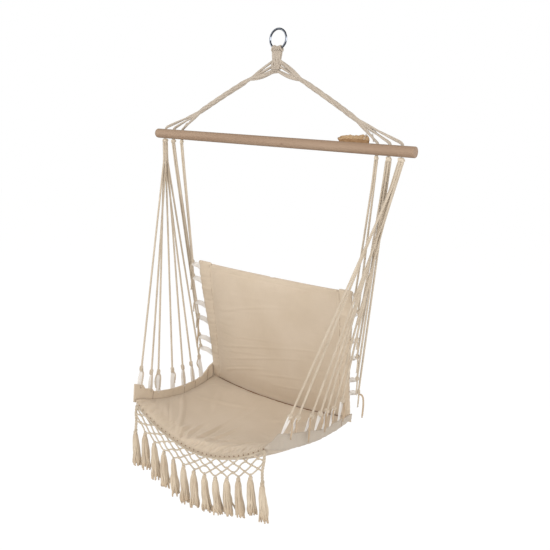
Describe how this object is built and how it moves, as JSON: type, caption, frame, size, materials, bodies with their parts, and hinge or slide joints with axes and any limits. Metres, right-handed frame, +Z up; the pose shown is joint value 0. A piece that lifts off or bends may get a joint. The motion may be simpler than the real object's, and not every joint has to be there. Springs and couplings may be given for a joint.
{
  "type": "hammock chair",
  "caption": "Hanging hammock chair: ring, gathered ropes, round wooden spreader bar, padded canvas seat and back on knotted side cords, netted fringe with tassels.",
  "frame": {"origin": "inside of the hanging ring at its top, where the hook bears", "axes": "+Z up, +X along the spreader bar, to the right as seen from the front, and -Y towards the front of the seat and its fringe"},
  "size_m": [1, 0.4457, 1.4813],
  "materials": {
    "ring_steel": "polished",
    "bar_wood": "matte",
    "cotton_cord": "matte",
    "canvas": "matte",
    "border_canvas": "matte",
    "tassel_cotton": "matte",
    "tag_card": "matte"
  },
  "bodies": {
    "ring": {"hanging_ring": "ring_steel"},
    "sling": {"ring_loops": "cotton_cord"},
    "hanger": {"hitch_knot": "cotton_cord", "left_suspension_rope": "cotton_cord", "right_suspension_rope": "cotton_cord", "spreader_bar": "bar_wood", "hang_tag": "tag_card"},
    "seat": {"left_seat_cord_1": "cotton_cord", "left_seat_cord_2": "cotton_cord", "left_seat_cord_3": "cotton_cord", "left_seat_cord_4": "cotton_cord", "left_seat_cord_5": "cotton_cord", "left_seat_cord_6": "cotton_cord", "left_seat_cord_7": "cotton_cord", "left_back_cord_1": "cotton_cord", "left_back_cord_2": "cotton_cord", "left_back_cord_3": "cotton_cord", "left_back_cord_4": "cotton_cord", "left_back_cord_5": "cotton_cord", "left_back_cord_6": "cotton_cord", "left_seat_border": "border_canvas", "left_back_casing": "border_canvas", "right_seat_cord_1": "cotton_cord", "right_seat_cord_2": "cotton_cord", "right_seat_cord_3": "cotton_cord", "right_seat_cord_4": "cotton_cord", "right_seat_cord_5": "cotton_cord", "right_seat_cord_6": "cotton_cord", "right_seat_cord_7": "cotton_cord", "right_back_cord_1": "cotton_cord", "right_back_cord_2": "cotton_cord", "right_back_cord_3": "cotton_cord", "right_back_cord_4": "cotton_cord", "right_back_cord_5": "cotton_cord", "right_back_cord_6": "cotton_cord", "right_seat_border": "border_canvas", "right_back_casing": "border_canvas", "seat_pad": "canvas", "back_pad": "canvas", "fringe_net": "cotton_cord"},
    "tassel_01": {"tassel_01": "tassel_cotton"},
    "tassel_02": {"tassel_02": "tassel_cotton"},
    "tassel_03": {"tassel_03": "tassel_cotton"},
    "tassel_04": {"tassel_04": "tassel_cotton"},
    "tassel_05": {"tassel_05": "tassel_cotton"},
    "tassel_06": {"tassel_06": "tassel_cotton"},
    "tassel_07": {"tassel_07": "tassel_cotton"},
    "tassel_08": {"tassel_08": "tassel_cotton"},
    "tassel_09": {"tassel_09": "tassel_cotton"},
    "tassel_10": {"tassel_10": "tassel_cotton"},
    "tassel_11": {"tassel_11": "tassel_cotton"},
    "tassel_12": {"tassel_12": "tassel_cotton"},
    "tassel_13": {"tassel_13": "tassel_cotton"}
  },
  "joints": [
    {"name": "ring_sway", "type": "hinge", "parent": "ring", "child": "sling", "pos_m": [0, 0, -0.027], "axis": [0, 1, 0], "range_deg": [-18, 18]},
    {"name": "chair_swing", "type": "hinge", "parent": "sling", "child": "hanger", "pos_m": [0, 0, -0.05725], "axis": [1, 0, 0], "range_deg": [-35, 35]},
    {"name": "seat_swing", "type": "hinge", "parent": "hanger", "child": "seat", "pos_m": [0, 0, -0.3626], "axis": [1, 0, 0], "range_deg": [-15, 15]},
    {"name": "tassel_01_swing", "type": "hinge", "parent": "seat", "child": "tassel_01", "pos_m": [-0.2616, -0.271, -1.3143], "axis": [1, 0, 0], "range_deg": [-35, 35]},
    {"name": "tassel_02_swing", "type": "hinge", "parent": "seat", "child": "tassel_02", "pos_m": [-0.218, -0.271, -1.3098], "axis": [1, 0, 0], "range_deg": [-35, 35]},
    {"name": "tassel_03_swing", "type": "hinge", "parent": "seat", "child": "tassel_03", "pos_m": [-0.1744, -0.271, -1.33032], "axis": [1, 0, 0], "range_deg": [-35, 35]},
    {"name": "tassel_04_swing", "type": "hinge", "parent": "seat", "child": "tassel_04", "pos_m": [-0.1308, -0.271, -1.34628], "axis": [1, 0, 0], "range_deg": [-35, 35]},
    {"name": "tassel_05_swing", "type": "hinge", "parent": "seat", "child": "tassel_05", "pos_m": [-0.0872, -0.271, -1.35768], "axis": [1, 0, 0], "range_deg": [-35, 35]},
    {"name": "tassel_06_swing", "type": "hinge", "parent": "seat", "child": "tassel_06", "pos_m": [-0.0436, -0.271, -1.36452], "axis": [1, 0, 0], "range_deg": [-35, 35]},
    {"name": "tassel_07_swing", "type": "hinge", "parent": "seat", "child": "tassel_07", "pos_m": [0, -0.271, -1.3668], "axis": [1, 0, 0], "range_deg": [-35, 35]},
    {"name": "tassel_08_swing", "type": "hinge", "parent": "seat", "child": "tassel_08", "pos_m": [0.0436, -0.271, -1.36452], "axis": [1, 0, 0], "range_deg": [-35, 35]},
    {"name": "tassel_09_swing", "type": "hinge", "parent": "seat", "child": "tassel_09", "pos_m": [0.0872, -0.271, -1.35768], "axis": [1, 0, 0], "range_deg": [-35, 35]},
    {"name": "tassel_10_swing", "type": "hinge", "parent": "seat", "child": "tassel_10", "pos_m": [0.1308, -0.271, -1.34628], "axis": [1, 0, 0], "range_deg": [-35, 35]},
    {"name": "tassel_11_swing", "type": "hinge", "parent": "seat", "child": "tassel_11", "pos_m": [0.1744, -0.271, -1.33032], "axis": [1, 0, 0], "range_deg": [-35, 35]},
    {"name": "tassel_12_swing", "type": "hinge", "parent": "seat", "child": "tassel_12", "pos_m": [0.218, -0.271, -1.3098], "axis": [1, 0, 0], "range_deg": [-35, 35]},
    {"name": "tassel_13_swing", "type": "hinge", "parent": "seat", "child": "tassel_13", "pos_m": [0.2616, -0.271, -1.3143], "axis": [1, 0, 0], "range_deg": [-35, 35]}
  ]
}
